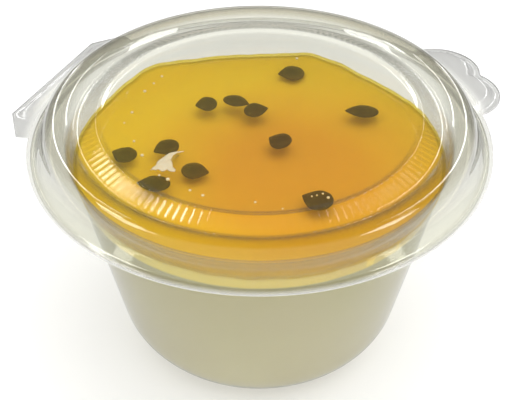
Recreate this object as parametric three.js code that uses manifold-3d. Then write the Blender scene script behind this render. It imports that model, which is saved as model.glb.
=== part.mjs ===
// Panna cotta in a clear round dessert pot: a set cream, a layer of passion-fruit jelly on
// it, the thin moulded cup that holds both and the press-on lid, each one closed solid.
// Millimetres, +Z up, origin at the middle of the cup's flat underside.
import * as THREE from 'three';
import { mergeVertices } from 'three/addons/utils/BufferGeometryUtils.js';
import Module from 'manifold-3d';

const wasm = await Module();
wasm.setup();

// Driving dimensions
const rimRadius = 47.5; // outer edge of the lid
const rimHeight = 51.2; // table to the lid's rim
const sheet = 0.5; // thickness of the moulded plastic
const gap = 0.3; // clearance between pieces that touch
const sides = 48; // facets round each turned piece

// Cup
const cupTopRadius = 39.4; // outside of the wall, just under the flange
const cupFootRadius = 29.4; // where the sloping wall would meet the table
const cupCornerRadius = 13.2; // rounding between wall and base
const flangeRadius = 46.8; // outer edge of the cup's flange
const flangeBendRadius = 0.8; // rounding from the wall into the flange
const flangeTop = 0.9; // flat of the flange, above the lid's rim
const flangeShoulder = 43.2; // where the flange starts to slope down

// Contents, depths below the lid's rim
const jellyDepth = 3.3; // free surface of the jelly
const creamDepthAtWall = 5.6; // top of the cream along the wall
const creamDish = 1.7; // how much deeper the cream is in the middle
const meniscus = 0.5; // how far the jelly climbs at the wall
const meniscusWidth = 2.0;

// Lid, heights above its rim
const ridgeTop = 6.6; // raised ring
const ridgeOuter = 43.5; // outer and inner radius of the ring's flat top
const ridgeInner = 39.2;
const ridgeCorner = 1.0; // rounding of the ring's outer edge
const skirtRadius = 44.3; // foot of the ring's outer wall
const skirtHeight = 2.5;
const grooveRadius = 37.1; // bottom of the groove inside the ring
const grooveHeight = 4.8;
const panelEdgeRadius = 32.9; // crest round the middle panel
const panelEdgeHeight = 6.2;
const panelRadius = 31.7; // flat middle panel
const panelHeight = 5.6;
const rimFlat = 1.3; // flat outer edge of the lid

// Lift tab: two rounded lobes on the rim, each with a raised pad, and a straight side that
// runs from the second lobe to the rim
const tabLobes = [
  { azimuth: 19.2, reach: 54.7 },
  { azimuth: 30.8, reach: 55.8 },
];
const lobeRadius = 9.3;
const lobeSides = 32;
const sideMeetsRim = 50; // azimuth
const padInset = 1.6; // flat edge left round each raised pad
const padHeight = 0.9;
const padSlope = 0.8; // how much narrower the pad is at its top

// Straight strip on the rim: slanted ends that run out in a small point, and a bead along it
const stripAzimuth = 155.1;
const stripReach = 50.3; // axis of the pot to the strip's outer edge
const slantStart = 15.8; // half length of the straight outer edge
const stripHalfLength = 22.2; // to the points
const pointReach = 45; // axis of the pot to the points
const notchDepth = 2; // from the points back to the strip's root
const beadInset = 1.3; // outer edge to the bead
const beadWidth = 2.6;
const beadHeight = 0.8;
const rootReach = 34; // inner edge, before the rim's core is cut away

const halfSheet = sheet / 2;
const rimBite = 1.0; // how far tab and strip run into the rim, so that they are one piece

// ---- outlines, as [radius, height] pairs ----

function arc(centreR, centreZ, radius, fromDeg, toDeg, steps) {
  return Array.from({ length: steps + 1 }, (_, i) => {
    const a = THREE.MathUtils.degToRad(fromDeg + ((toDeg - fromDeg) * i) / steps);
    return [centreR + radius * Math.cos(a), centreZ + radius * Math.sin(a)];
  });
}

// The same outline moved sideways by a distance, to the left of its direction of travel.
function offset(points, distance) {
  const normals = points.slice(1).map(([r, z], i) => {
    const along = new THREE.Vector2(r - points[i][0], z - points[i][1]).normalize();
    return new THREE.Vector2(-along.y, along.x);
  });
  return points.map(([r, z], i) => {
    const before = normals[Math.max(i - 1, 0)];
    const after = normals[Math.min(i, normals.length - 1)];
    const mitre = before.clone().add(after).normalize();
    const length = distance / mitre.dot(after);
    return [Math.max(r + mitre.x * length, 0), z + mitre.y * length];
  });
}

// A sheet of even thickness on one side of an outline that starts on the axis.
function sheetOutline(face, thickness) {
  return [...face, ...offset(face, thickness).reverse()];
}

const wallSlope = Math.atan2(cupTopRadius - cupFootRadius, rimHeight);
const wallSlopeDeg = THREE.MathUtils.radToDeg(wallSlope);

// Centre radius of the base's corner, from the wall's slope and the rounding.
const cornerCentre = cupFootRadius + cupCornerRadius * (Math.tan(wallSlope) - 1 / Math.cos(wallSlope));

// Outside of the cup's base and corner, up to where its straight wall starts.
function baseAndCorner() {
  const steps = 7;
  return [
    [0, 0],
    ...arc(cornerCentre, cupCornerRadius, cupCornerRadius, -90, -wallSlopeDeg, steps),
  ];
}

// Outside of the cup, from the middle of its base out to the edge of its flange.
function cupOutside() {
  const bendCentre = cupTopRadius + flangeBendRadius;
  const under = rimHeight + flangeTop - sheet;
  const slopeFoot = rimHeight - halfSheet - gap - sheet;
  return [
    ...baseAndCorner(),
    ...arc(bendCentre, under - flangeBendRadius, flangeBendRadius, 180 - wallSlopeDeg, 90, 3),
    [flangeShoulder, under],
    [flangeRadius - rimFlat, slopeFoot],
    [flangeRadius, slopeFoot],
  ];
}

// Radius of the cup's inside at a height, on the straight part of its wall.
function insideRadius(height) {
  return cupFootRadius + height * Math.tan(wallSlope) - sheet / Math.cos(wallSlope);
}

// Upper face of the lid, from the middle of its panel out to its rim.
function lidTop() {
  const up = rimHeight;
  return [
    [0, up + panelHeight],
    [panelRadius, up + panelHeight],
    [panelEdgeRadius - 0.4, up + panelEdgeHeight],
    [panelEdgeRadius + 0.4, up + panelEdgeHeight],
    [grooveRadius - 0.3, up + grooveHeight],
    [grooveRadius + 0.3, up + grooveHeight],
    [ridgeInner, up + ridgeTop - 0.3],
    [ridgeInner + 0.8, up + ridgeTop],
    ...arc(ridgeOuter - ridgeCorner, up + ridgeTop - ridgeCorner, ridgeCorner, 90, 10, 3),
    [skirtRadius, up + skirtHeight],
    [rimRadius - rimFlat, up + halfSheet],
    [rimRadius, up + halfSheet],
  ];
}

// ---- solids ----

function turned(outline) {
  const points = outline.map(([r, z]) => new THREE.Vector2(r, z));
  return new THREE.LatheGeometry(points, sides).rotateX(Math.PI / 2);
}

function toSolid(geometry) {
  const bare = geometry.clone();
  bare.deleteAttribute('normal');
  bare.deleteAttribute('uv');
  const merged = mergeVertices(bare);
  const index = merged.index.array;
  const corners = [];
  for (let i = 0; i < index.length; i += 3) {
    const [a, b, c] = [index[i], index[i + 1], index[i + 2]];
    if (a !== b && b !== c && c !== a) corners.push(a, b, c);
  }
  return new wasm.Manifold(
    new wasm.Mesh({
      numProp: 3,
      vertProperties: new Float32Array(merged.attributes.position.array),
      triVerts: new Uint32Array(corners),
    }),
  );
}

function toGeometry(solid) {
  const mesh = solid.getMesh();
  const geometry = new THREE.BufferGeometry();
  geometry.setAttribute('position', new THREE.BufferAttribute(mesh.vertProperties, 3));
  geometry.setIndex(new THREE.BufferAttribute(mesh.triVerts, 1));
  return geometry;
}

function plate(shape, thickness, bottom, steps) {
  const options = { depth: thickness, bevelEnabled: false, curveSegments: steps };
  return toSolid(new THREE.ExtrudeGeometry(shape, options).translate(0, 0, bottom));
}

function polar(radius, azimuthDeg) {
  const a = THREE.MathUtils.degToRad(azimuthDeg);
  return new THREE.Vector2(radius * Math.cos(a), radius * Math.sin(a));
}

// Everything inside the rim's bite, taken off the tab and the strip.
function rimCore() {
  const height = 4 * padHeight + 4 * sheet;
  const core = new THREE.CylinderGeometry(rimRadius - rimBite, rimRadius - rimBite, height, sides);
  return toSolid(core.rotateX(Math.PI / 2).translate(0, 0, rimHeight));
}

// Where a line from a point outside a circle touches it, on the far side.
function touchPoint(from, centre, radius) {
  const towards = from.clone().sub(centre);
  const turn = -Math.acos(radius / towards.length());
  return towards.setLength(radius).rotateAround(new THREE.Vector2(), turn).add(centre);
}

function liftTab() {
  const bottom = rimHeight - halfSheet;
  const padRadius = lobeRadius - padInset;
  const centres = tabLobes.map(({ azimuth, reach }) => polar(reach - lobeRadius, azimuth));
  const foot = polar(rimRadius - rimBite, sideMeetsRim);
  const web = [centres[0], centres[1], touchPoint(foot, centres[1], lobeRadius), foot];
  let tab = plate(new THREE.Shape(web), sheet, bottom, 1);
  for (const { x, y } of centres) {
    const lobe = new THREE.Shape().absarc(x, y, lobeRadius, 0, 2 * Math.PI);
    const pad = new THREE.CylinderGeometry(padRadius - padSlope, padRadius, padHeight, lobeSides);
    pad.rotateX(Math.PI / 2).translate(x, y, rimHeight + padHeight / 2);
    tab = tab.add(plate(lobe, sheet, bottom, lobeSides / 2)).add(toSolid(pad));
  }
  return tab;
}

function outlineOf(pairs) {
  return new THREE.Shape(pairs.map(([x, y]) => new THREE.Vector2(x, y)));
}

function gripStrip() {
  const bottom = rimHeight - halfSheet;
  const half = [
    [rootReach, stripHalfLength - notchDepth],
    [pointReach, stripHalfLength - notchDepth],
    [pointReach, stripHalfLength],
    [stripReach, slantStart],
  ];
  const mirrored = half.map(([x, y]) => [x, -y]);
  const beadReach = stripReach - beadInset;
  const bead = outlineOf([
    [beadReach - beadWidth, -slantStart],
    [beadReach, -slantStart],
    [beadReach, slantStart],
    [beadReach - beadWidth, slantStart],
  ]);
  const body = plate(outlineOf([...mirrored, ...half.reverse()]), sheet, bottom, 1);
  return body.add(plate(bead, beadHeight + halfSheet, rimHeight, 1)).rotate([0, 0, stripAzimuth]);
}

function lid() {
  const shell = toSolid(turned(sheetOutline(lidTop(), -sheet).reverse()));
  const grips = liftTab().add(gripStrip()).subtract(rimCore());
  return toGeometry(shell.add(grips));
}

function cup() {
  return turned(sheetOutline(cupOutside(), sheet));
}

// Top of the set cream: a shallow dish, deepest in the middle.
function creamSurface(lift) {
  const wallHeight = rimHeight - creamDepthAtWall + lift;
  const edge = insideRadius(wallHeight) - gap;
  const steps = 5;
  return Array.from({ length: steps + 1 }, (_, i) => {
    const share = i / steps;
    return [edge * share, wallHeight - creamDish * (1 - share ** 4)];
  });
}

function cream() {
  const under = offset(baseAndCorner(), sheet + gap);
  return turned([...under, ...creamSurface(0).reverse()]);
}

function jelly() {
  const top = rimHeight - jellyDepth;
  const edge = insideRadius(top + meniscus) - gap;
  const surface = [
    [edge, top + meniscus],
    [edge - meniscusWidth / 2, top + meniscus / 5],
    [edge - meniscusWidth, top],
    [0, top],
  ];
  return turned([...creamSurface(gap), ...surface]);
}

// ---- the finished group ----

function piece(name, geometry, color, roughness) {
  const material = new THREE.MeshStandardMaterial({ color, roughness, metalness: 0 });
  const mesh = new THREE.Mesh(geometry, material);
  mesh.name = name;
  return mesh;
}

const pot = new THREE.Group();
pot.add(piece('cup', cup(), '#d9dad2', 0.12));
pot.add(piece('panna_cotta', cream(), '#e6e0c6', 0.45));
pot.add(piece('passion_fruit_jelly', jelly(), '#dca534', 0.1));
pot.add(piece('lid', lid(), '#dfe0dc', 0.08));

export default pot;
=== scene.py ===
import math
import random

import bmesh
import bpy
from mathutils import Matrix, Vector, noise


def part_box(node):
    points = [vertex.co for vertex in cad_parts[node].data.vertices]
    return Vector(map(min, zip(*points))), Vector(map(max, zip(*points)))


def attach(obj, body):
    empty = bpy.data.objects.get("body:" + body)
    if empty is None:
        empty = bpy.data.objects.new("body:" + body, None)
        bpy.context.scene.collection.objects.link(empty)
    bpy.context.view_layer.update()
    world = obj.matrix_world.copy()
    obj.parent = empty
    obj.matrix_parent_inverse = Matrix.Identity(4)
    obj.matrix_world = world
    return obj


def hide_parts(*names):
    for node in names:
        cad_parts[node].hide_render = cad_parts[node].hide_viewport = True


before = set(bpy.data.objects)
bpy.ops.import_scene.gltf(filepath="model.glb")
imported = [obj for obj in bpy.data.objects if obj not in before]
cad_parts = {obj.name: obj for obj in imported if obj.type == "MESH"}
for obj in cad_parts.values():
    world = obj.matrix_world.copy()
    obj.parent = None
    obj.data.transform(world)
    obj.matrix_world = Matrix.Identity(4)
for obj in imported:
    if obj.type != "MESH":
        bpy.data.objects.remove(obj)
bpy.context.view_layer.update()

mm = 0.001
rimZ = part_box("cup")[1].z - 0.9 * mm  # the cup's flange stands this much above the lid's rim
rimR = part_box("lid")[1].y  # outer edge of the lid
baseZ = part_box("cup")[0].z

scene = bpy.context.scene


def linearColour(hexCode):
    channels = [int(hexCode[i:i + 2], 16) / 255 for i in (1, 3, 5)]
    return [c / 12.92 if c <= 0.04045 else ((c + 0.055) / 1.055) ** 2.4 for c in channels] + [1.0]


def addNode(tree, kind, settings=None, links=None):
    node = tree.nodes.new(kind)
    for key, value in (settings or {}).items():
        if isinstance(key, int) or key in node.inputs:
            node.inputs[key].default_value = linearColour(value) if isinstance(value, str) else value
        else:
            setattr(node, key, value)
    for key, socket in (links or {}).items():
        tree.links.new(socket, node.inputs[key])
    return node


def newMaterial(name):
    material = bpy.data.materials.new(name)
    material.use_nodes = True
    material.node_tree.nodes.clear()
    return material, material.node_tree


def smoothStep(low, high, value):
    share = min(max((value - low) / (high - low), 0.0), 1.0)
    return share * share * (3 - 2 * share)


def polar(vert):
    return math.hypot(vert.co.x, vert.co.y), math.atan2(vert.co.y, vert.co.x)


def turnFrom(angle, azimuth):  # signed turn in radians between an angle and an azimuth in degrees
    return (angle - math.radians(azimuth) + math.pi) % (2 * math.pi) - math.pi


def turned(corners, ringGap, steps, mostCuts=60):  # corners: radius, height above the table, softness in mm
    bm = bmesh.new()
    chain = [bm.verts.new((r * mm, 0, z * mm)) for r, z, soft in corners]
    for a, b in zip(chain, chain[1:]):
        bm.edges.new((a, b))
    for vert, (r, z, soft) in zip(chain, corners):
        if soft:
            bmesh.ops.bevel(bm, geom=[vert], offset=soft * mm, affect="VERTICES",
                            segments=max(3, min(12, round(soft * 4))), profile=0.5, material=-1)
    for edge in list(bm.edges):
        cuts = min(int(edge.calc_length() / (ringGap * mm)), mostCuts)
        if cuts:
            bmesh.ops.subdivide_edges(bm, edges=[edge], cuts=cuts)
    bmesh.ops.spin(bm, geom=bm.verts[:] + bm.edges[:], cent=(0, 0, 0), axis=(0, 0, 1),
                   angle=2 * math.pi, steps=steps, use_merge=True, use_duplicate=False)
    bmesh.ops.remove_doubles(bm, verts=bm.verts, dist=0.01 * mm)
    bmesh.ops.recalc_face_normals(bm, faces=bm.faces)
    return bm


def faceTheSky(bm, wanted):  # turns an open shell so that the faces round its axis look up or down
    nearest = min(bm.faces, key=lambda face: face.calc_center_median().xy.length)
    if nearest.normal.z * wanted < 0:
        bmesh.ops.reverse_faces(bm, faces=bm.faces)


def placePiece(name, bm, material, replaces=None, wall=0.0):
    mesh = bpy.data.meshes.new(name)
    for face in bm.faces:
        face.smooth = True
    bm.to_mesh(mesh)
    bm.free()
    mesh.materials.append(material)
    piece = bpy.data.objects.new(name, mesh)
    scene.collection.objects.link(piece)
    if wall:
        shell = piece.modifiers.new("wall", "SOLIDIFY")
        shell.thickness = wall * mm
        shell.offset = -1
        shell.use_even_offset = True
    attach(piece, "root")
    if replaces:
        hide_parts(replaces)
    return piece


fruitMiddle = (-7 * mm, 6 * mm, 0)  # moves the deep orange to the right and forward of the axis


petSizes = {
    # zones of the sheet, in mm from the lid's round edge: where each begins and where it is full
    "ridge": (-9.2, -7.8), "rim": (-4.2, -2.8), "grip": (0.0, 1.5), "whitened": (-1.2, 0.3),
    "whiteness": 0.36,  # how milky the sheet is where it is whitened
    "darkEdge": 3.6,  # how narrow the grey of a wall seen edge on is
    "straightOn": 0.035, "edgeOn": 0.9,  # share of light that the gloss sends back
}
# colours of the zones, then how wide and deep the sheet wobbles and how narrow its glare is
cupLook = {
    "clear": "#fafaf6", "ridge": "#f8f8f4", "rim": "#fafaf5", "grip": "#fafaf5", "edge": "#8c8b80",
    "waveSize": 9.0, "waveDepth": 0.06, "glare": 4.6,
}
lidLook = {
    "clear": "#fbfbf9", "ridge": "#eeede7", "rim": "#f8f8f5", "grip": "#d2d2d0", "edge": "#85857e",
    "waveSize": 7.0, "waveDepth": 0.05, "glare": 3.0,
}


# Thermoformed PET: clear and thin, greyer where it is seen edge on, a little whitened towards the
# cut rim and the grips, with a hard bright gloss that wobbles where the sheet was drawn.
def thermoformedPet(name, look):
    s = petSizes
    material, tree = newMaterial(name)
    place = addNode(tree, "ShaderNodeTexCoord")
    flat = addNode(tree, "ShaderNodeMapping", {"Scale": (1, 1, 0)}, {"Vector": place.outputs["Object"]})
    reach = addNode(tree, "ShaderNodeVectorMath", {"operation": "LENGTH"}, {0: flat.outputs["Vector"]})
    layer = None
    for part in ("ridge", "rim", "grip"):
        start, full = s[part]
        zone = addNode(tree, "ShaderNodeMapRange",
                       {"From Min": rimR + start * mm, "From Max": rimR + full * mm},
                       {"Value": reach.outputs["Value"]})
        film = addNode(tree, "ShaderNodeMix", {"data_type": "RGBA", 6: look["clear"], 7: look[part]},
                       {0: zone.outputs[0]})
        if layer:
            tree.links.new(layer, film.inputs[6])
        layer = film.outputs[2]
    drawn = addNode(tree, "ShaderNodeTexNoise", {"Scale": 1 / (look["waveSize"] * mm), "Detail": 2.0},
                    {"Vector": place.outputs["Object"]})
    wave = addNode(tree, "ShaderNodeBump", {"Strength": 1.0, "Distance": look["waveDepth"] * mm},
                   {"Height": drawn.outputs["Fac"]})
    facing = addNode(tree, "ShaderNodeLayerWeight", {"Blend": 0.5}, {"Normal": wave.outputs["Normal"]})
    edge = addNode(tree, "ShaderNodeMath", {"operation": "POWER", 1: s["darkEdge"]},
                   {0: facing.outputs["Facing"]})
    tint = addNode(tree, "ShaderNodeMix", {"data_type": "RGBA", 7: look["edge"]},
                   {0: edge.outputs[0], 6: layer})
    clear = addNode(tree, "ShaderNodeBsdfTransparent", None, {"Color": tint.outputs[2]})
    start, full = s["whitened"]
    whitened = addNode(tree, "ShaderNodeMapRange",
                       {"From Min": rimR + start * mm, "From Max": rimR + full * mm,
                        "To Max": s["whiteness"]},
                       {"Value": reach.outputs["Value"]})
    frost = addNode(tree, "ShaderNodeBsdfPrincipled", {"Base Color": "#f8f8f5", "Roughness": 0.4})
    sheet = addNode(tree, "ShaderNodeMixShader", None,
                    {0: whitened.outputs[0], 1: clear.outputs[0], 2: frost.outputs[0]})
    steep = addNode(tree, "ShaderNodeMath", {"operation": "POWER", 1: look["glare"]},
                    {0: facing.outputs["Facing"]})
    mirror = addNode(tree, "ShaderNodeMapRange", {"To Min": s["straightOn"], "To Max": s["edgeOn"]},
                     {"Value": steep.outputs[0]})
    gloss = addNode(tree, "ShaderNodeBsdfGlossy", {"Color": "#ffffff", "Roughness": 0.035},
                    {"Normal": wave.outputs["Normal"]})
    both = addNode(tree, "ShaderNodeMixShader", None,
                   {0: mirror.outputs[0], 1: sheet.outputs[0], 2: gloss.outputs[0]})
    addNode(tree, "ShaderNodeOutputMaterial", None, {"Surface": both.outputs[0]})
    return material


creamLook = {
    # low and high: the cream's side is painted lighter near the table and darker up under the flange; this
    # is painted shade and painted floor bounce, not the cream's own colour
    "low": "#d4ceaf", "high": "#b8b28a", "blotch": "#c1b899",
    "juiceMiddle": "#f1c66a", "juiceEdge": "#fee776",  # where the top is soaked with juice
}
jellyLook = {
    "tintMiddle": "#fdecae", "tintEdge": "#fff4a6",  # what the jelly does to the things under it
    "pulpMiddle": "#e6ac3a", "pulpEdge": "#efce3e", "pulpShare": 0.13,
}
seedLook = {
    "dark": "#0e110e", "light": "#25281f",
    "veil": "#8a5f14", "veilShare": 0.3, "veilFrom": 1.1, "veilFull": 2.6,  # pulp over a deep seed
}


# Set cream: warm ivory, nearly matt, with a soft glow under the surface and fine gelatine mottling; its
# side is painted darker towards the top as painted shade under the flange, and lighter low down as painted
# light bounced off the floor.
def setCream():
    s = creamLook
    material, tree = newMaterial("setCream")
    place = addNode(tree, "ShaderNodeTexCoord")
    cloud = addNode(tree, "ShaderNodeTexNoise", {"Scale": 1 / (22 * mm), "Detail": 3.0},
                    {"Vector": place.outputs["Object"]})
    height = addNode(tree, "ShaderNodeSeparateXYZ", None, {0: place.outputs["Object"]})
    # painted shade: blends from the lighter low colour near the table to the darker high colour under the
    # flange
    low = addNode(tree, "ShaderNodeMapRange", {"From Min": 2 * mm, "From Max": 40 * mm},
                  {"Value": height.outputs["Z"]})
    body = addNode(tree, "ShaderNodeMix", {"data_type": "RGBA", 6: s["low"], 7: s["high"]},
                   {0: low.outputs[0]})
    blotch = addNode(tree, "ShaderNodeMapRange", {"From Min": 0.35, "From Max": 0.65, "To Max": 0.5},
                     {"Value": cloud.outputs["Fac"]})
    mottled = addNode(tree, "ShaderNodeMix", {"data_type": "RGBA", 7: s["blotch"]},
                      {0: blotch.outputs[0], 6: body.outputs[2]})
    shifted = addNode(tree, "ShaderNodeMapping", {"Scale": (1, 1, 0), "Location": fruitMiddle},
                      {"Vector": place.outputs["Object"]})
    fromMiddle = addNode(tree, "ShaderNodeVectorMath", {"operation": "LENGTH"},
                         {0: shifted.outputs["Vector"]})
    wander = addNode(tree, "ShaderNodeMath", {"operation": "MULTIPLY_ADD", 1: 14 * mm},
                     {0: cloud.outputs["Fac"], 2: fromMiddle.outputs["Value"]})
    thin = addNode(tree, "ShaderNodeMapRange", {"From Min": 22 * mm, "From Max": 44 * mm},
                   {"Value": wander.outputs[0]})
    juice = addNode(tree, "ShaderNodeMix",
                    {"data_type": "RGBA", 6: s["juiceMiddle"], 7: s["juiceEdge"]}, {0: thin.outputs[0]})
    topZ = rimZ - (fillSizes["creamBelowRim"] + fillSizes["creamDish"]) * mm
    soaked = addNode(tree, "ShaderNodeMapRange", {"From Min": topZ - 0.8 * mm, "From Max": topZ - 0.2 * mm},
                     {"Value": height.outputs["Z"]})
    colour = addNode(tree, "ShaderNodeMix", {"data_type": "RGBA"},
                     {0: soaked.outputs[0], 6: mottled.outputs[2], 7: juice.outputs[2]})
    grain = addNode(tree, "ShaderNodeTexNoise", {"Scale": 1 / (1.2 * mm), "Detail": 3.0},
                    {"Vector": place.outputs["Object"]})
    relief = addNode(tree, "ShaderNodeBump", {"Strength": 0.3, "Distance": 0.05 * mm},
                     {"Height": grain.outputs["Fac"]})
    skin = addNode(tree, "ShaderNodeBsdfPrincipled",
                   {"Roughness": 0.45, "IOR": 1.4, "Subsurface Weight": 0.25, "Subsurface Scale": 0.002,
                    "Subsurface Radius": (1.0, 0.85, 0.6)},
                   {"Base Color": colour.outputs[2], "Normal": relief.outputs["Normal"]})
    addNode(tree, "ShaderNodeOutputMaterial", None, {"Surface": skin.outputs[0]})
    return material


# Passion-fruit jelly: wet and clear enough to see the sunk seeds, tinting what lies under it deep
# orange where it is thick in the middle and yellow towards the wall, with a thin haze of pulp.
def passionFruitJelly():
    s = jellyLook
    material, tree = newMaterial("passionFruitJelly")
    place = addNode(tree, "ShaderNodeTexCoord")
    flat = addNode(tree, "ShaderNodeMapping", {"Scale": (1, 1, 0), "Location": fruitMiddle},
                   {"Vector": place.outputs["Object"]})
    reach = addNode(tree, "ShaderNodeVectorMath", {"operation": "LENGTH"}, {0: flat.outputs["Vector"]})
    cloud = addNode(tree, "ShaderNodeTexNoise", {"Scale": 1 / (16 * mm), "Detail": 3.0},
                    {"Vector": place.outputs["Object"]})
    wander = addNode(tree, "ShaderNodeMath", {"operation": "MULTIPLY_ADD", 1: 16 * mm},
                     {0: cloud.outputs["Fac"], 2: reach.outputs["Value"]})
    thin = addNode(tree, "ShaderNodeMapRange", {"From Min": 18 * mm, "From Max": 45 * mm},
                   {"Value": wander.outputs[0]})
    tint = addNode(tree, "ShaderNodeMix",
                   {"data_type": "RGBA", 6: s["tintMiddle"], 7: s["tintEdge"]}, {0: thin.outputs[0]})
    pulp = addNode(tree, "ShaderNodeMix",
                   {"data_type": "RGBA", 6: s["pulpMiddle"], 7: s["pulpEdge"]}, {0: thin.outputs[0]})
    ripple = addNode(tree, "ShaderNodeTexNoise", {"Scale": 1 / (7 * mm), "Detail": 2.0},
                     {"Vector": place.outputs["Object"]})
    relief = addNode(tree, "ShaderNodeBump", {"Strength": 0.5, "Distance": 0.25 * mm},
                     {"Height": ripple.outputs["Fac"]})
    clear = addNode(tree, "ShaderNodeBsdfTransparent", None, {"Color": tint.outputs[2]})
    haze = addNode(tree, "ShaderNodeBsdfPrincipled",
                   {"Roughness": 0.12, "IOR": 1.36, "Coat Weight": 1.0, "Coat Roughness": 0.05},
                   {"Base Color": pulp.outputs[2], "Normal": relief.outputs["Normal"]})
    both = addNode(tree, "ShaderNodeMixShader", {0: s["pulpShare"]},
                   {1: clear.outputs[0], 2: haze.outputs[0]})
    addNode(tree, "ShaderNodeOutputMaterial", None, {"Surface": both.outputs[0]})
    return material


# Passion-fruit seed coat: hard, olive black and finely pitted, with a wet shine; browner where it
# lies deep, under more pulp.
def seedCoat():
    s = seedLook
    material, tree = newMaterial("seedCoat")
    place = addNode(tree, "ShaderNodeTexCoord")
    pits = addNode(tree, "ShaderNodeTexVoronoi", {"Scale": 1 / (0.55 * mm)},
                   {"Vector": place.outputs["Object"]})
    cloud = addNode(tree, "ShaderNodeTexNoise", {"Scale": 1 / (2.5 * mm), "Detail": 2.0},
                    {"Vector": place.outputs["Object"]})
    colour = addNode(tree, "ShaderNodeMix", {"data_type": "RGBA", 6: s["dark"], 7: s["light"]},
                     {0: cloud.outputs["Fac"]})
    relief = addNode(tree, "ShaderNodeBump", {"Strength": 0.6, "Distance": 0.12 * mm},
                     {"Height": pits.outputs["Distance"]})
    height = addNode(tree, "ShaderNodeSeparateXYZ", None, {0: place.outputs["Object"]})
    topZ = rimZ - fillSizes["jellyBelowRim"] * mm
    sunk = addNode(tree, "ShaderNodeMapRange",
                   {"From Min": topZ - s["veilFrom"] * mm, "From Max": topZ - s["veilFull"] * mm,
                    "To Max": s["veilShare"]}, {"Value": height.outputs["Z"]})
    veiled = addNode(tree, "ShaderNodeMix", {"data_type": "RGBA", 7: s["veil"]},
                     {0: sunk.outputs[0], 6: colour.outputs[2]})
    coat = addNode(tree, "ShaderNodeBsdfPrincipled", {"Roughness": 0.35},
                   {"Base Color": veiled.outputs[2], "Normal": relief.outputs["Normal"]})
    addNode(tree, "ShaderNodeOutputMaterial", None, {"Surface": coat.outputs[0]})
    return material


# Spilt cream: thin, wet and off-white, a little uneven.
def spiltCream():
    material, tree = newMaterial("spiltCream")
    place = addNode(tree, "ShaderNodeTexCoord")
    cloud = addNode(tree, "ShaderNodeTexNoise", {"Scale": 1 / (1.1 * mm), "Detail": 3.0},
                    {"Vector": place.outputs["Object"]})
    colour = addNode(tree, "ShaderNodeMix", {"data_type": "RGBA", 6: "#fff8e6", 7: "#ecd3a0"},
                     {0: cloud.outputs["Fac"]})
    relief = addNode(tree, "ShaderNodeBump", {"Strength": 0.6, "Distance": 0.12 * mm},
                     {"Height": cloud.outputs["Fac"]})
    wet = addNode(tree, "ShaderNodeBsdfPrincipled", {"Roughness": 0.2, "IOR": 1.4},
                  {"Base Color": colour.outputs[2], "Normal": relief.outputs["Normal"]})
    addNode(tree, "ShaderNodeOutputMaterial", None, {"Surface": wet.outputs[0]})
    return material


# Air bubble: a pale bright bead under a skin of jelly.
def airBubble():
    material, tree = newMaterial("airBubble")
    place = addNode(tree, "ShaderNodeTexCoord")
    cloud = addNode(tree, "ShaderNodeTexNoise", {"Scale": 1 / (0.4 * mm)},
                    {"Vector": place.outputs["Object"]})
    colour = addNode(tree, "ShaderNodeMix", {"data_type": "RGBA", 6: "#fff6d6", 7: "#ffe9a8"},
                     {0: cloud.outputs["Fac"]})
    bead = addNode(tree, "ShaderNodeBsdfPrincipled", {"Roughness": 0.08, "IOR": 1.4, "Coat Weight": 1.0},
                   {"Base Color": colour.outputs[2]})
    addNode(tree, "ShaderNodeOutputMaterial", None, {"Surface": bead.outputs[0]})
    return material


cupSizes = {
    "topR": 39.4, "footR": 29.4,  # outside of the sloping wall at the rim and at the table
    "footSoft": 10.87,  # rounding between wall and base
    "flangeTop": 0.9, "flangeR": 46.8, "shoulderR": 43.2, "flangeFootR": 45.5, "flangeFoot": -0.75,
    "wall": 0.45, "segments": 288,
    "baseRise": 0.5, "baseR": 14.0, "baseSlope": 2.2,  # shallow hollow under the base
    "stepFrom": 3.2, "stepTo": 2.2, "stepOut": 0.25,  # small stacking step under the flange
}
rimMm = rimZ / mm
wallSlope = (cupSizes["topR"] - cupSizes["footR"]) / rimMm
wallCos = math.cos(math.atan(wallSlope))


def wallRadius(height, inset):  # radius of the cup's wall at a height, moved in by an inset, in mm
    return cupSizes["footR"] + height * wallSlope - inset / wallCos


def baseCorners(inset):
    s = cupSizes
    return [(0, s["baseRise"] + inset, 0), (s["baseR"], s["baseRise"] + inset, 1.0),
            (s["baseR"] + s["baseSlope"], inset, 0.8),
            (wallRadius(inset, inset), inset, s["footSoft"] - inset)]


def makeCup():
    s = cupSizes
    top = rimMm + s["flangeTop"]
    corners = baseCorners(0) + [
        (wallRadius(top - s["stepFrom"], 0), top - s["stepFrom"], 0.4),
        (wallRadius(top - s["stepTo"], -s["stepOut"]), top - s["stepTo"], 0.4),
        (wallRadius(top, -s["stepOut"]), top, 0.8),
        (s["shoulderR"], top, 0.5),
        (s["flangeFootR"], rimMm + s["flangeFoot"], 0.4),
        (s["flangeR"], rimMm + s["flangeFoot"], 0),
    ]
    bm = turned(corners, 4.0, s["segments"])
    faceTheSky(bm, -1)
    return placePiece("clearCup", bm, cupPlastic, "cup", s["wall"])


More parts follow.
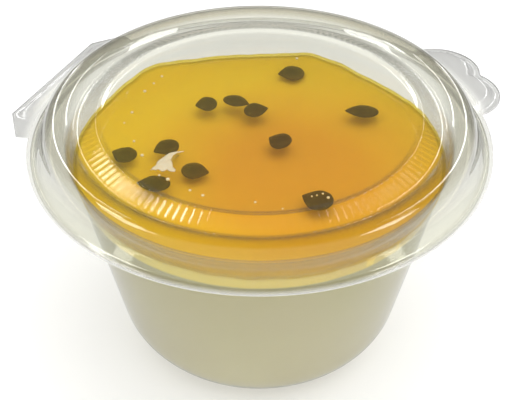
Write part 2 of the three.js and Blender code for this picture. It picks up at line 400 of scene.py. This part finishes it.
fillSizes = {
    "creamBelowRim": 5.6, "creamDish": 1.7,  # cream near the wall, and how much deeper in the middle
    "creamClimb": 2.0, "climbFrom": 30.0,  # how the cream runs up just before it meets the wall
    "jellyBelowRim": 3.3, "meniscus": 0.4, "meniscusWidth": 1.6,
    "edgeDrop": 1.2, "edgeWidth": 5.0,  # both fillings sink a little towards the wall
    "intoWall": 0.2,  # how far the fillings reach into the cup's wall
    "intoCream": 0.4,  # how far the jelly reaches into the cream
    # where both fillings were left higher or lower on the wall: azimuth and width in degrees, rise
    "waterline": [(130, 12, 2.0), (95, 11, -0.4), (70, 8, 1.0), (42, 14, -1.2), (10, 20, -0.3),
                  (250, 30, 0.5)],
    "shiftFrom": 5.5, "shiftFull": 2.6,  # depth where the cream begins to follow that, and follows it
    "surfaceRings": (0, 10, 20, 28, 32, 33.5, 35, 36.2, 37.3),  # closer where the cream climbs
    "raggedness": 0.35, "unevenness": 0.15, "ripple": 0.10,  # of the edge, the cream and the jelly
    "unevenDepth": 5.0, "unevenR": 36.0,  # the part of the cream that is uneven
    "swell": 0.22, "swellR": 2.6,  # how high and wide the jelly rises over a seed
    "swellDepth": 0.8,  # only over seeds less deep than this
    "segments": 192,
}
seedSizes = {
    # x, y, depth of the middle below the jelly's surface, length, width, turn in degrees
    "seeds": [
        (-11.7, 17.5, 1.0, 4.9, 4.2, 197),
        (-5.2, 18.5, 1.0, 6.2, 3.5, -24),
        (-0.9, 15.2, 1.1, 5.4, 4.3, 12),
        (7.6, 31.2, 1.9, 6.2, 4.6, 190),
        (22.7, 14.6, 1.0, 7.4, 4.2, 180),
        (4.3, 3.8, 1.0, 5.1, 4.9, 150),
        (11.5, -15.9, 0.75, 6.6, 5.2, 150),
        (-28.2, -1.1, 1.0, 5.4, 4.8, 160),
        (-19.5, 1.3, 1.0, 6.0, 4.0, 218),
        (-13.4, -5.6, 2.1, 5.8, 4.8, -12),
        (-21.2, -10.9, 1.0, 6.8, 4.2, 176),
    ],
    "fatness": 0.57, "flatness": 0.2,  # half breadth and half thickness, as shares of the width
    "pointing": 0.62, "pointingPower": 1.7,  # how one end is drawn out to a point
    "pointedEnd": 1.06, "bluntEnd": 0.96,  # half length towards each end, as shares of half the length
    "lumps": 0.05, "bend": 0.08, "roll": 0.1, "pitch": 0.06,  # how much one seed differs from the next
    "cover": 0.35,  # least jelly over a seed
}


def creamTop(radius):  # height of the cream's top at a radius, both in mm
    f = fillSizes
    edge = wallRadius(rimMm - f["creamBelowRim"], cupSizes["wall"])
    near = min(max((radius - f["climbFrom"]) / (edge - f["climbFrom"]), 0.0), 1.0)
    dish = f["creamDish"] * (1 - min(radius / edge, 1.0) ** 4)
    return rimMm - f["creamBelowRim"] - dish + f["creamClimb"] * near ** 2.5


def waterlineShift(radius, angle):  # how far the fillings' edge moves up or down, in mm
    edge = wallRadius(rimMm - fillSizes["jellyBelowRim"], cupSizes["wall"])
    rise = sum(height * math.exp(-(turnFrom(angle, at) / math.radians(width)) ** 2)
               for at, width, height in fillSizes["waterline"])
    rise += fillSizes["raggedness"] * noise.noise(Vector((math.cos(angle), math.sin(angle), 0.0)) * 9)
    return (rise - fillSizes["edgeDrop"]) * smoothStep(edge - fillSizes["edgeWidth"], edge, radius)


def makeCream():
    s = fillSizes
    inset = cupSizes["wall"] - s["intoWall"]
    edgeZ = rimMm - s["creamBelowRim"] + s["creamClimb"]
    corners = baseCorners(inset) + [(wallRadius(edgeZ, inset), edgeZ, 0)]
    corners += [(r, creamTop(r), 0) for r in reversed(s["surfaceRings"])]
    bm = turned(corners, 1.5, s["segments"])
    for vert in bm.verts:  # the poured surface is not quite even
        r, angle = polar(vert)
        upper = smoothStep((edgeZ - s["shiftFrom"]) * mm, (edgeZ - s["shiftFull"]) * mm, vert.co.z)
        vert.co.z += waterlineShift(r / mm, angle) * mm * upper
        if vert.co.z > (edgeZ - s["unevenDepth"]) * mm and r < s["unevenR"] * mm:
            vert.co.z += s["unevenness"] * mm * noise.noise(vert.co * 90)
    bmesh.ops.recalc_face_normals(bm, faces=bm.faces)
    return placePiece("pannaCotta", bm, creamFinish, "panna_cotta")


def makeJelly():
    s = fillSizes
    inset = cupSizes["wall"] - s["intoWall"]
    topZ = rimMm - s["jellyBelowRim"]
    lowZ = rimMm - s["creamBelowRim"] + s["creamClimb"]
    corners = [(r, creamTop(r) - s["intoCream"], 0) for r in s["surfaceRings"]]
    corners += [(wallRadius(lowZ, inset), lowZ - s["intoCream"], 0),
                (wallRadius(topZ + s["meniscus"], inset), topZ + s["meniscus"], 0),
                (wallRadius(topZ, inset) - s["meniscusWidth"], topZ + 0.04, 1.2),
                (0, topZ, 0)]
    bm = turned(corners, 0.8, s["segments"])
    for vert in bm.verts:
        r, angle = polar(vert)
        isTop = vert.co.z > (topZ - 0.05) * mm
        vert.co.z += waterlineShift(r / mm, angle) * mm
        if not isTop:
            continue
        vert.co.z += s["ripple"] * mm * noise.noise(Vector((vert.co.x, vert.co.y, 0.0)) * 110)
        for x, y, depth, length, width, turn in seedSizes["seeds"]:
            away = (Vector((x, y)) * mm - vert.co.xy).length
            if depth < s["swellDepth"]:
                vert.co.z += s["swell"] * mm * math.exp(-(away / (s["swellR"] * mm)) ** 2)
    bmesh.ops.recalc_face_normals(bm, faces=bm.faces)
    return placePiece("passionFruitJelly", bm, jellyFinish, "passion_fruit_jelly")


def makeSeeds():
    s = seedSizes
    bm = bmesh.new()
    topZ = rimMm - fillSizes["jellyBelowRim"]
    dice = random.Random(7)
    for x, y, depth, length, width, turn in s["seeds"]:
        made = bmesh.ops.create_icosphere(bm, subdivisions=4, radius=1.0)["verts"]
        bend = dice.uniform(-s["bend"], s["bend"])
        for vert in made:
            u = vert.co.x
            waist = 1.0 if u < 0 else 1.0 - s["pointing"] * u ** s["pointingPower"]
            lumpy = 1 + s["lumps"] * noise.noise(vert.co * 2.3 + Vector((x, y, 0)))
            vert.co = Vector((u * length / 2 * (s["pointedEnd"] if u > 0 else s["bluntEnd"]),
                              (vert.co.y * waist * lumpy + bend * u * u) * width * s["fatness"],
                              vert.co.z * waist * lumpy * width * s["flatness"])) * mm
        tilt = Matrix.Rotation(dice.uniform(-s["roll"], s["roll"]), 3, "X")
        tilt = tilt @ Matrix.Rotation(dice.uniform(-s["pitch"], s["pitch"]), 3, "Y")
        turnIt = Matrix.Rotation(math.radians(turn), 3, "Z")
        bmesh.ops.rotate(bm, verts=made, cent=(0, 0, 0), matrix=turnIt @ tilt)
        sunk = max(depth, width * s["flatness"] + s["cover"])
        bmesh.ops.translate(bm, verts=made, vec=Vector((x, y, topZ - sunk)) * mm)
    return placePiece("seeds", bm, seedFinish)


dripSizes = {
    # middle of the drip from its thin tail to its wide end: x, y, half width
    "stations": [(-15.7, -1.7, 0.12), (-17.0, -2.0, 0.22), (-18.3, -2.7, 0.55), (-19.2, -4.6, 1.1),
                 (-19.5, -6.6, 1.9), (-19.7, -8.3, 2.7)],
    "dome": 0.22, "lift": 0.05,  # how thick it is in the middle, and how far it stands off the jelly
    "ragged": 0.28, "fray": 0.9,  # unevenness of its sides and of its wide end
    "wall": 0.12, "along": 40, "across": 12,
}
bubbleSizes = {
    # x, y, radius
    "bubbles": [
        (-27.7, 12.3, 0.34), (-26.3, 1.7, 0.30), (-24.2, -3.2, 0.38), (-25.6, 20.6, 0.40),
        (-23.8, 23.8, 0.28), (-22.2, 26.7, 0.32), (-13.8, -14.7, 0.30), (-11.2, -16.3, 0.34),
        (-0.9, -18.4, 0.26), (8.8, 34.4, 0.36), (-18.4, -11.2, 0.42), (-20.2, -9.9, 0.26),
        (13.4, -17.0, 0.32), (12.4, -15.8, 0.24), (11.2, -16.3, 0.22), (10.2, -16.6, 0.2),
        (-29.0, 8.4, 0.22), (4.4, -20.4, 0.2),
    ],
    "squash": 0.7, "proud": 0.15,  # how flat a bubble is, and how far its middle stands out
}


def makeDrip():
    s = dripSizes
    topZ = rimMm - fillSizes["jellyBelowRim"]
    bm = bmesh.new()
    bmesh.ops.create_grid(bm, x_segments=s["along"], y_segments=s["across"], size=1.0)
    points = s["stations"]
    for vert in bm.verts:
        u = (vert.co.x + 1) / 2 * (len(points) - 1)
        v = vert.co.y
        step = min(int(u), len(points) - 2)
        a, b = Vector(points[step]), Vector(points[step + 1])
        middle = a.lerp(b, u - step)
        side = Vector((-(b - a).y, (b - a).x)).normalized()
        ragged = 1 + s["ragged"] * noise.noise(Vector((u * 1.7, v * 2.5, 3.1)))
        fray = s["fray"] * noise.noise(Vector((v * 4.2, 1.3, 0.0))) * smoothStep(4.2, 5, u)
        spot = middle.xy + side * middle.z * v * ragged + (b - a).xy.normalized() * fray
        height = topZ + s["lift"] + s["dome"] * (1 - v * v) * min(1, middle.z)
        vert.co = Vector((spot.x, spot.y, height)) * mm
    faceTheSky(bm, 1)
    return placePiece("creamStreak", bm, dripFinish, wall=s["wall"])


def makeBubbles():
    s = bubbleSizes
    bm = bmesh.new()
    topZ = rimMm - fillSizes["jellyBelowRim"]
    for x, y, radius in s["bubbles"]:
        made = bmesh.ops.create_icosphere(bm, subdivisions=3, radius=radius * mm)["verts"]
        bmesh.ops.scale(bm, verts=made, vec=(1, 1, s["squash"]))
        bmesh.ops.translate(bm, verts=made, vec=Vector((x, y, topZ + s["proud"])) * mm)
    return placePiece("airBubbles", bm, bubbleFinish)


lidSizes = {  # heights above the rim
    "panelR": 31.7, "panelZ": 5.6, "crestR": 32.9, "crestZ": 6.2,
    "grooveR": 37.1, "grooveZ": 4.8,
    "ridgeInnerR": 39.4, "ridgeOuterR": 43.4, "ridgeZ": 6.6,
    "skirtR": 44.3, "skirtZ": 2.5, "flatR": 46.2, "flatZ": 0.25,
    "wall": 0.4, "segments": 576,
    "ribs": 144, "ribDepth": 0.075,
    "ribStart": (-0.3, 0.5), "ribEnd": (-0.9, -0.2),  # measured from the crest and from the groove
    "flatRings": 16,
}
tabSizes = {
    "lobes": [(19.2, 54.7), (30.8, 55.8)],  # azimuth and reach
    "lobeR": 9.3, "sideMeetsRim": 50,
    "padInset": 1.6, "padHeight": 0.9, "padSlope": 0.9,
}
stripSizes = {
    "azimuth": 155.1, "reach": 50.3, "halfEdge": 15.8, "halfLength": 22.2, "pointReach": 45.0,
    "beadInset": 1.3, "beadWidth": 2.6, "beadHeight": 0.8, "beadSlope": 0.7, "beadEnds": 1.0,
}


def lobeCentres():
    t = tabSizes
    return [Vector((math.cos(math.radians(a)), math.sin(math.radians(a)))) * (reach - t["lobeR"])
            for a, reach in t["lobes"]]


def crossing(angle, start, end):  # how far out a ray from the axis meets the line through two points
    ray = Vector((math.cos(angle), math.sin(angle)))
    along = end - start
    spread = ray.x * along.y - ray.y * along.x
    return (start.x * along.y - start.y * along.x) / spread if abs(spread) > 1e-6 else 0.0


def tabReach(angle):
    t = tabSizes
    reach = rimR / mm
    centres = lobeCentres()
    for centre in centres:
        side = turnFrom(angle, math.degrees(math.atan2(centre.y, centre.x)))
        across = centre.length * math.sin(side)
        if abs(side) < 1 and abs(across) < t["lobeR"]:
            reach = max(reach, centre.length * math.cos(side) + math.sqrt(t["lobeR"] ** 2 - across ** 2))
    meets = math.radians(t["sideMeetsRim"])
    foot = Vector((math.cos(meets), math.sin(meets))) * rimR / mm
    towards = foot - centres[1]
    bend = math.acos(t["lobeR"] / towards.length)
    touch = centres[1] + Matrix.Rotation(bend, 2) @ towards.normalized() * t["lobeR"]
    if math.atan2(touch.y, touch.x) <= angle <= meets:
        reach = max(reach, crossing(angle, touch, foot))
    return reach


def stripReach(angle):
    s = stripSizes
    side = abs(turnFrom(angle, s["azimuth"]))
    straightTo = math.atan2(s["halfEdge"], s["reach"])
    slantTo = math.atan2(s["halfLength"], s["pointReach"])
    if side <= straightTo:
        return s["reach"] / math.cos(side)
    if side <= slantTo:
        corner, point = Vector((s["reach"], s["halfEdge"])), Vector((s["pointReach"], s["halfLength"]))
        return crossing(side, corner, point)
    return rimR / mm


def padRise(x, y):  # raised pads of the tab and the bead of the strip, in mm
    t, s = tabSizes, stripSizes
    rise = 0.0
    for centre in lobeCentres():
        away = (Vector((x, y)) - centre).length
        rise = max(rise, t["padHeight"] * smoothStep(0, t["padSlope"], t["lobeR"] - t["padInset"] - away))
    a = math.radians(s["azimuth"])
    out, along = x * math.cos(a) + y * math.sin(a), -x * math.sin(a) + y * math.cos(a)
    across = min(s["reach"] - s["beadInset"] - out, out - (s["reach"] - s["beadInset"] - s["beadWidth"]))
    ends = s["halfEdge"] - abs(along)
    bead = s["beadHeight"] * smoothStep(0, s["beadSlope"], across) * smoothStep(0, s["beadEnds"], ends)
    return max(rise, bead)


def pressRibs(bm):  # ribs on the slope between the crest and the groove
    s = lidSizes
    for vert in bm.verts:
        r, angle = polar(vert)
        band = smoothStep(s["crestR"] + s["ribStart"][0], s["crestR"] + s["ribStart"][1], r / mm)
        band *= 1 - smoothStep(s["grooveR"] + s["ribEnd"][0], s["grooveR"] + s["ribEnd"][1], r / mm)
        if band > 0:
            vert.co.z += s["ribDepth"] * mm * band * math.cos(s["ribs"] * angle)


def growFlatRim(bm):  # the flat rim, ring by ring
    s = lidSizes
    spacing = (rimR / mm - s["flatR"]) / s["flatRings"]
    outer = [edge for edge in bm.edges if edge.is_boundary]
    for ring in range(s["flatRings"]):
        grown = bmesh.ops.extrude_edge_only(bm, edges=outer)["geom"]
        outer = [item for item in grown if isinstance(item, bmesh.types.BMEdge) and item.is_boundary]
        for vert in {v for edge in outer for v in edge.verts}:
            r, angle = polar(vert)
            vert.co.xy *= (r + spacing * mm) / r


def drawOutGrips(bm):  # the flat rim drawn out into the lift tab and the strip
    flatR = lidSizes["flatR"]
    for vert in bm.verts:
        r, angle = polar(vert)
        share = (r / mm - flatR) / (rimR / mm - flatR)
        if share <= 0.001:
            continue
        reach = max(tabReach(angle), stripReach(angle))
        newR = flatR + (reach - flatR) * share
        vert.co.xy *= newR * mm / r
        vert.co.z += padRise(vert.co.x / mm, vert.co.y / mm) * mm


def makeLid():
    s = lidSizes
    up = rimMm
    corners = [
        (0, up + s["panelZ"], 0), (s["panelR"], up + s["panelZ"], 0.35),
        (s["crestR"], up + s["crestZ"], 0.35),
        (s["grooveR"] - 0.4, up + s["grooveZ"], 0.3), (s["grooveR"] + 0.4, up + s["grooveZ"], 0.3),
        (s["ridgeInnerR"], up + s["ridgeZ"], 1.5), (s["ridgeOuterR"], up + s["ridgeZ"] - 0.1, 1.9),
        (s["skirtR"], up + s["skirtZ"], 1.0),
        (s["flatR"] - 0.3, up + s["flatZ"], 0.5), (s["flatR"], up + s["flatZ"], 0),
    ]
    bm = turned(corners, 0.9, s["segments"], mostCuts=10)
    faceTheSky(bm, 1)
    pressRibs(bm)
    growFlatRim(bm)
    drawOutGrips(bm)
    bmesh.ops.recalc_face_normals(bm, faces=bm.faces)
    faceTheSky(bm, 1)
    return placePiece("clearLid", bm, lidPlastic, "lid", s["wall"])


cupPlastic = thermoformedPet("thermoformedPetCup", cupLook)
lidPlastic = thermoformedPet("thermoformedPetLid", lidLook)
creamFinish = setCream()
jellyFinish = passionFruitJelly()
seedFinish = seedCoat()
dripFinish = spiltCream()
bubbleFinish = airBubble()
print("materials made")

makeCup()
makeCream()
makeJelly()
print("cup, cream and jelly made")
makeSeeds()
makeDrip()
makeBubbles()
print("seeds, drip and bubbles made")
makeLid()
print("lid made")


studio = {
    "floorHalf": 3.0, "floorColour": "#d8d8d6",
    "cameraAt": (-0.00075, -0.1763, 0.1781), "lookDown": 39.36, "lens": 73.85,
    "floorGlow": 0.32,  # the sweep is lit from below as well, which lifts the shadow under the pot
    "skyColour": "#fdfdff", "skyStrength": 0.9,
    "backDrop": 0.12, "backTowards": (0.0, 0.85, 0.53),  # a dark card, seen only by reflections
    "backFrom": 0.25, "backFull": 0.8,  # how near its middle the card begins and is darkest
    # lamps: name, place, width, height, power, whether it lights the room or only sparkles
    "lamps": [
        ("glintLeft", (-0.385, 0.26, 0.68), 0.11, 0.11, 0.42, False),
        ("glintRight", (0.37, 0.25, 0.68), 0.05, 0.05, 0.03, False),
        ("stripLeft", (-0.29, 0.75, 0.59), 0.04, 0.55, 0.55, False),
        ("stripRight", (0.29, 0.75, 0.59), 0.04, 0.55, 0.50, False),
        ("sideLeft", (-0.52, 0.05, 0.80), 0.30, 0.22, 1.3, False),
        ("sideRight", (0.52, 0.05, 0.80), 0.30, 0.22, 1.4, False),
        ("softboxTop", (0.22, 0.0, 1.13), 1.50, 1.50, 9.8, True),
    ],
}


def makeStudio():
    s = studio
    bm = bmesh.new()
    bmesh.ops.create_grid(bm, x_segments=2, y_segments=2, size=s["floorHalf"])
    bmesh.ops.translate(bm, verts=bm.verts, vec=(0, 0, baseZ - 0.02 * mm))
    mesh = bpy.data.meshes.new("floor")
    bm.to_mesh(mesh)
    bm.free()
    floor = bpy.data.objects.new("floor", mesh)
    scene.collection.objects.link(floor)
    material, tree = newMaterial("paleSweep")
    paint = addNode(tree, "ShaderNodeBsdfPrincipled", {"Base Color": s["floorColour"], "Roughness": 0.7,
                    "Emission Color": "#ffffff", "Emission Strength": s["floorGlow"]})
    addNode(tree, "ShaderNodeOutputMaterial", None, {"Surface": paint.outputs[0]})
    mesh.materials.append(material)

    world = bpy.data.worlds.new("studioSky")
    scene.world = world
    world.use_nodes = True
    world.node_tree.nodes.clear()
    room = world.node_tree
    place = addNode(room, "ShaderNodeTexCoord")
    towards = addNode(room, "ShaderNodeVectorMath", {"operation": "DOT_PRODUCT", 1: s["backTowards"]},
                      {0: place.outputs["Generated"]})
    dim = addNode(room, "ShaderNodeMapRange",
                  {"interpolation_type": "SMOOTHSTEP", "From Min": s["backFrom"], "From Max": s["backFull"],
                   "To Min": s["skyStrength"], "To Max": s["backDrop"]},
                  {"Value": towards.outputs["Value"]})
    mirrored = addNode(room, "ShaderNodeLightPath")
    strength = addNode(room, "ShaderNodeMix", {2: s["skyStrength"]},
                       {0: mirrored.outputs["Is Glossy Ray"], 3: dim.outputs[0]})
    plain = addNode(room, "ShaderNodeMath", {"operation": "MAXIMUM"},
                    {0: strength.outputs[0], 1: mirrored.outputs["Is Camera Ray"]})
    sky = addNode(room, "ShaderNodeBackground", {"Color": s["skyColour"]}, {"Strength": plain.outputs[0]})
    addNode(room, "ShaderNodeOutputWorld", None, {"Surface": sky.outputs[0]})

    for name, place, width, height, power, lightsRoom in s["lamps"]:
        lamp = bpy.data.lights.new(name, "AREA")
        lamp.shape = "RECTANGLE"
        lamp.size = width
        lamp.size_y = height
        lamp.energy = power
        box = bpy.data.objects.new(name, lamp)
        scene.collection.objects.link(box)
        box.location = place
        box.rotation_euler = (Vector((0, 0, rimZ)) - Vector(place)).to_track_quat("-Z", "Y").to_euler()
        box.visible_diffuse = lightsRoom
        box.visible_glossy = not lightsRoom

    camera = bpy.data.cameras.new("camera")
    camera.lens = s["lens"]
    eye = bpy.data.objects.new("camera", camera)
    scene.collection.objects.link(eye)
    eye.location = s["cameraAt"]
    eye.rotation_euler = (math.radians(90 - s["lookDown"]), 0, 0)
    scene.camera = eye
    scene.view_settings.view_transform = "Standard"
    scene.cycles.transparent_max_bounces = 32  # sight and light pass many thin walls


makeStudio()
print("studio made")
